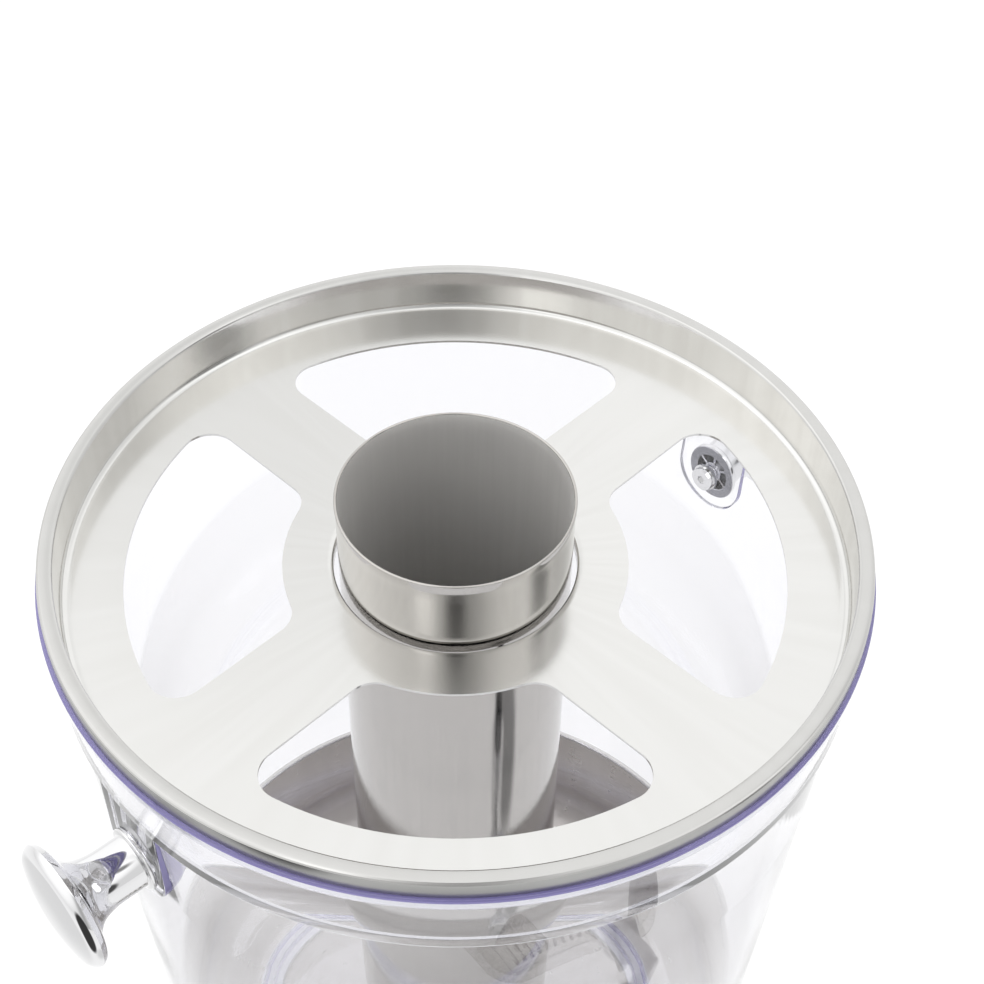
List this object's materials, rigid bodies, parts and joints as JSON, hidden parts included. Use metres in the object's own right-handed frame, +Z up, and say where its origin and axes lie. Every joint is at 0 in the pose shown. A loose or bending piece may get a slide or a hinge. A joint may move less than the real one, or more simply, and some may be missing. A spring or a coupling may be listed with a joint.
{
  "type": "juice dispenser",
  "caption": "Free-standing steel juice dispenser: clear tank with windowed lid and ice tube, carrying knobs, lever tap, column stand and drip tray.",
  "frame": {"origin": "on the table at the middle of the object's box", "axes": "+Z up, -Y towards the user and the tap, +X to the user's right"},
  "size_m": [0.2836, 0.356, 0.545],
  "materials": {
    "satin_steel": "satin brushed",
    "polished_steel": "mirror polished",
    "lid_steel": "bright satin",
    "plated_metal": "bright plated",
    "clear_tank": "clear polycarbonate with violet edges",
    "black_plastic": "moulded gloss",
    "black_rubber": "matt",
    "pale_silicone": "translucent matt"
  },
  "bodies": {
    "stand": {"base_shell": "satin_steel", "base_plate": "satin_steel", "rubber_feet": "black_rubber", "feet_screws": "plated_metal", "column": "polished_steel", "column_bolts": "plated_metal", "column_nuts": "plated_metal", "tank_cup": "satin_steel", "cup_bolts": "plated_metal", "cup_nuts": "plated_metal", "cup_pad": "pale_silicone"},
    "drip_tray": {"drip_tray": "satin_steel"},
    "drip_grille": {"drip_grille": "satin_steel"},
    "tank": {"tank": "clear_tank", "knob_left": "plated_metal", "knob_right": "plated_metal", "knob_screws": "plated_metal", "knob_washers": "plated_metal", "tube_socket": "polished_steel", "socket_gasket": "pale_silicone", "socket_nut": "polished_steel", "tap_body": "plated_metal", "tap_spout": "plated_metal", "tap_washer_outer": "pale_silicone", "tap_washer_inner": "pale_silicone", "tap_nut": "polished_steel", "tap_bonnet": "plated_metal", "bonnet_seal": "black_rubber", "tap_spring": "polished_steel"},
    "tap_stem": {"tap_stem": "polished_steel", "tap_seat_cup": "pale_silicone"},
    "tap_lever": {"tap_handle": "black_plastic", "tap_pin": "plated_metal"},
    "lid": {"lid": "lid_steel"},
    "ice_tube": {"tube_shell": "polished_steel", "tube_base": "polished_steel", "tube_stud": "polished_steel", "tube_seal": "pale_silicone"}
  },
  "joints": [
    {"name": "tank_lift", "type": "slide", "parent": "stand", "child": "tank", "axis": [0, 0, 1], "range_m": [0, 0.1]},
    {"name": "lid_lift", "type": "slide", "parent": "tank", "child": "lid", "axis": [0, 0, 1], "range_m": [0, 0.06]},
    {"name": "tube_lift", "type": "slide", "parent": "tank", "child": "ice_tube", "axis": [0, 0, 1], "range_m": [0, 0.3]},
    {"name": "tap_stem_lift", "type": "slide", "parent": "tank", "child": "tap_stem", "axis": [0, 0, 1], "range_m": [0, 0.0062], "deforming": ["tap_spring"]},
    {"name": "tap_lever_tilt", "type": "hinge", "parent": "tap_stem", "child": "tap_lever", "pos_m": [0, -0.09002, 0.3234], "axis": [1, 0, 0], "range_deg": [0, 85], "stiffness_Nm_per_rad": 0.2},
    {"name": "tray_lift", "type": "slide", "parent": "stand", "child": "drip_tray", "axis": [0, 0, 1], "range_m": [0, 0.06]},
    {"name": "grille_lift", "type": "slide", "parent": "drip_tray", "child": "drip_grille", "axis": [0, 0, 1], "range_m": [0, 0.05]}
  ],
  "couplings": [
    {"joint": "tap_stem_lift", "follows": "tap_lever_tilt", "m_per_rad": 0.004}
  ]
}
